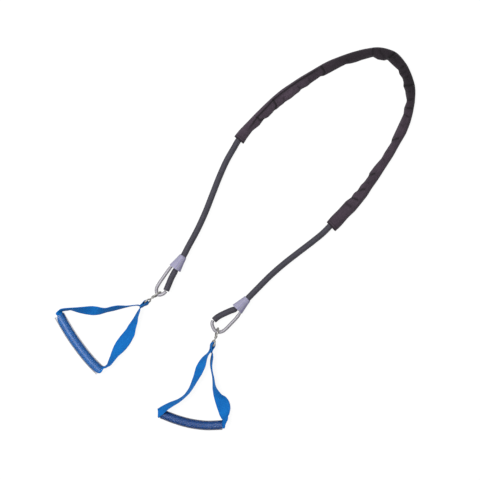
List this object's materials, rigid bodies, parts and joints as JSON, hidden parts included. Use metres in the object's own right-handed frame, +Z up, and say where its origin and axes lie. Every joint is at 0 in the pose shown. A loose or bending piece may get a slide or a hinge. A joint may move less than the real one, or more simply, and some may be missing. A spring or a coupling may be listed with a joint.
{
  "type": "elastic resistance cord with stirrup handles",
  "caption": "Elastic exercise cord in a fabric sleeve, with end cones, wire hooks, snap hooks and webbing stirrup handles with clear hose grips, lying flat.",
  "frame": {"origin": "on the floor, under the middle of the object's bounding box as it lies", "axes": "+Z up from the floor, +Y from the handles towards the bend of the cord, +X to the right seen from above"},
  "size_m": [0.6003, 0.6382, 0.0221],
  "materials": {
    "cord": "matte dark grey elastic cord with a fine braid",
    "sleeve": "black woven fabric",
    "cone": "satin lavender-grey moulded plastic",
    "hook_steel": "drawn zinc-plated steel wire",
    "snap_steel": "dull plated steel wire and spring leaf",
    "webbing": "blue woven polyester webbing",
    "thread": "blue sewing thread",
    "hose": "clear soft hose"
  },
  "bodies": {
    "cord_assembly": {"elastic_cord": "cord", "sleeve": "sleeve", "cone_left": "cone", "cone_right": "cone", "wire_hook_left": "hook_steel", "wire_hook_right": "hook_steel"},
    "snap_hook_left": {"snap_left": "snap_steel", "gate_collar_left": "snap_steel"},
    "gate_left": {"snap_gate_left": "snap_steel"},
    "handle_left": {"strap_left": "webbing", "strap_stitch_left": "thread"},
    "hose_grip_left": {"grip_left": "hose"},
    "keeper_left": {"cord_tail_left": "cord"},
    "snap_hook_right": {"snap_right": "snap_steel", "gate_collar_right": "snap_steel"},
    "gate_right": {"snap_gate_right": "snap_steel"},
    "handle_right": {"strap_right": "webbing", "strap_stitch_right": "thread"},
    "hose_grip_right": {"grip_right": "hose"},
    "keeper_right": {"cord_tail_right": "cord"}
  },
  "joints": [
    {"name": "snap_swing_left", "type": "hinge", "parent": "cord_assembly", "child": "snap_hook_left", "pos_m": [-0.1302, -0.09193, 0.0112], "axis": [-0.5931, 0.8051, 0], "range_deg": [0, 110]},
    {"name": "gate_open_left", "type": "hinge", "parent": "snap_hook_left", "child": "gate_left", "pos_m": [-0.13617, -0.09647, 0.01076], "axis": [0.5755, -0.7812, 0.2419], "range_deg": [0, 12], "stiffness_Nm_per_rad": 0.02},
    {"name": "handle_turn_left", "type": "hinge", "parent": "snap_hook_left", "child": "handle_left", "pos_m": [-0.14952, -0.10617, 0.0112], "axis": [-0.1435, 0.1948, 0.9703], "range_deg": [-25, 25]},
    {"name": "grip_roll_left", "type": "hinge", "parent": "handle_left", "child": "hose_grip_left", "pos_m": [-0.25928, -0.1751, 0.0094], "axis": [0.599, -0.8007, 0], "range_deg": [-6, 6]},
    {"name": "keeper_bend_left", "type": "hinge", "parent": "cord_assembly", "child": "keeper_left", "pos_m": [-0.09636, -0.05385, 0.01364], "axis": [-0.2836, 0.1912, 0.9397], "range_deg": [0, 25], "stiffness_Nm_per_rad": 0.3},
    {"name": "snap_swing_right", "type": "hinge", "parent": "cord_assembly", "child": "snap_hook_right", "pos_m": [-0.03087, -0.1546, 0.0112], "axis": [-0.9494, 0.3141, 0], "range_deg": [0, 110]},
    {"name": "gate_open_right", "type": "hinge", "parent": "snap_hook_right", "child": "gate_right", "pos_m": [-0.03333, -0.16169, 0.01076], "axis": [0.9212, -0.3048, -0.2419], "range_deg": [0, 12], "stiffness_Nm_per_rad": 0.02},
    {"name": "handle_turn_right", "type": "hinge", "parent": "snap_hook_right", "child": "handle_right", "pos_m": [-0.03841, -0.17738, 0.0112], "axis": [0.2297, -0.076, 0.9703], "range_deg": [-25, 25]},
    {"name": "grip_roll_right", "type": "hinge", "parent": "handle_right", "child": "hose_grip_right", "pos_m": [-0.07303, -0.30077, 0.0084], "axis": [0.9835, -0.1812, 0], "range_deg": [-6, 6]},
    {"name": "keeper_bend_right", "type": "hinge", "parent": "cord_assembly", "child": "keeper_right", "pos_m": [-0.0035, -0.11298, 0.0112], "axis": [0, 0, -1], "range_deg": [0, 25], "stiffness_Nm_per_rad": 0.3}
  ]
}
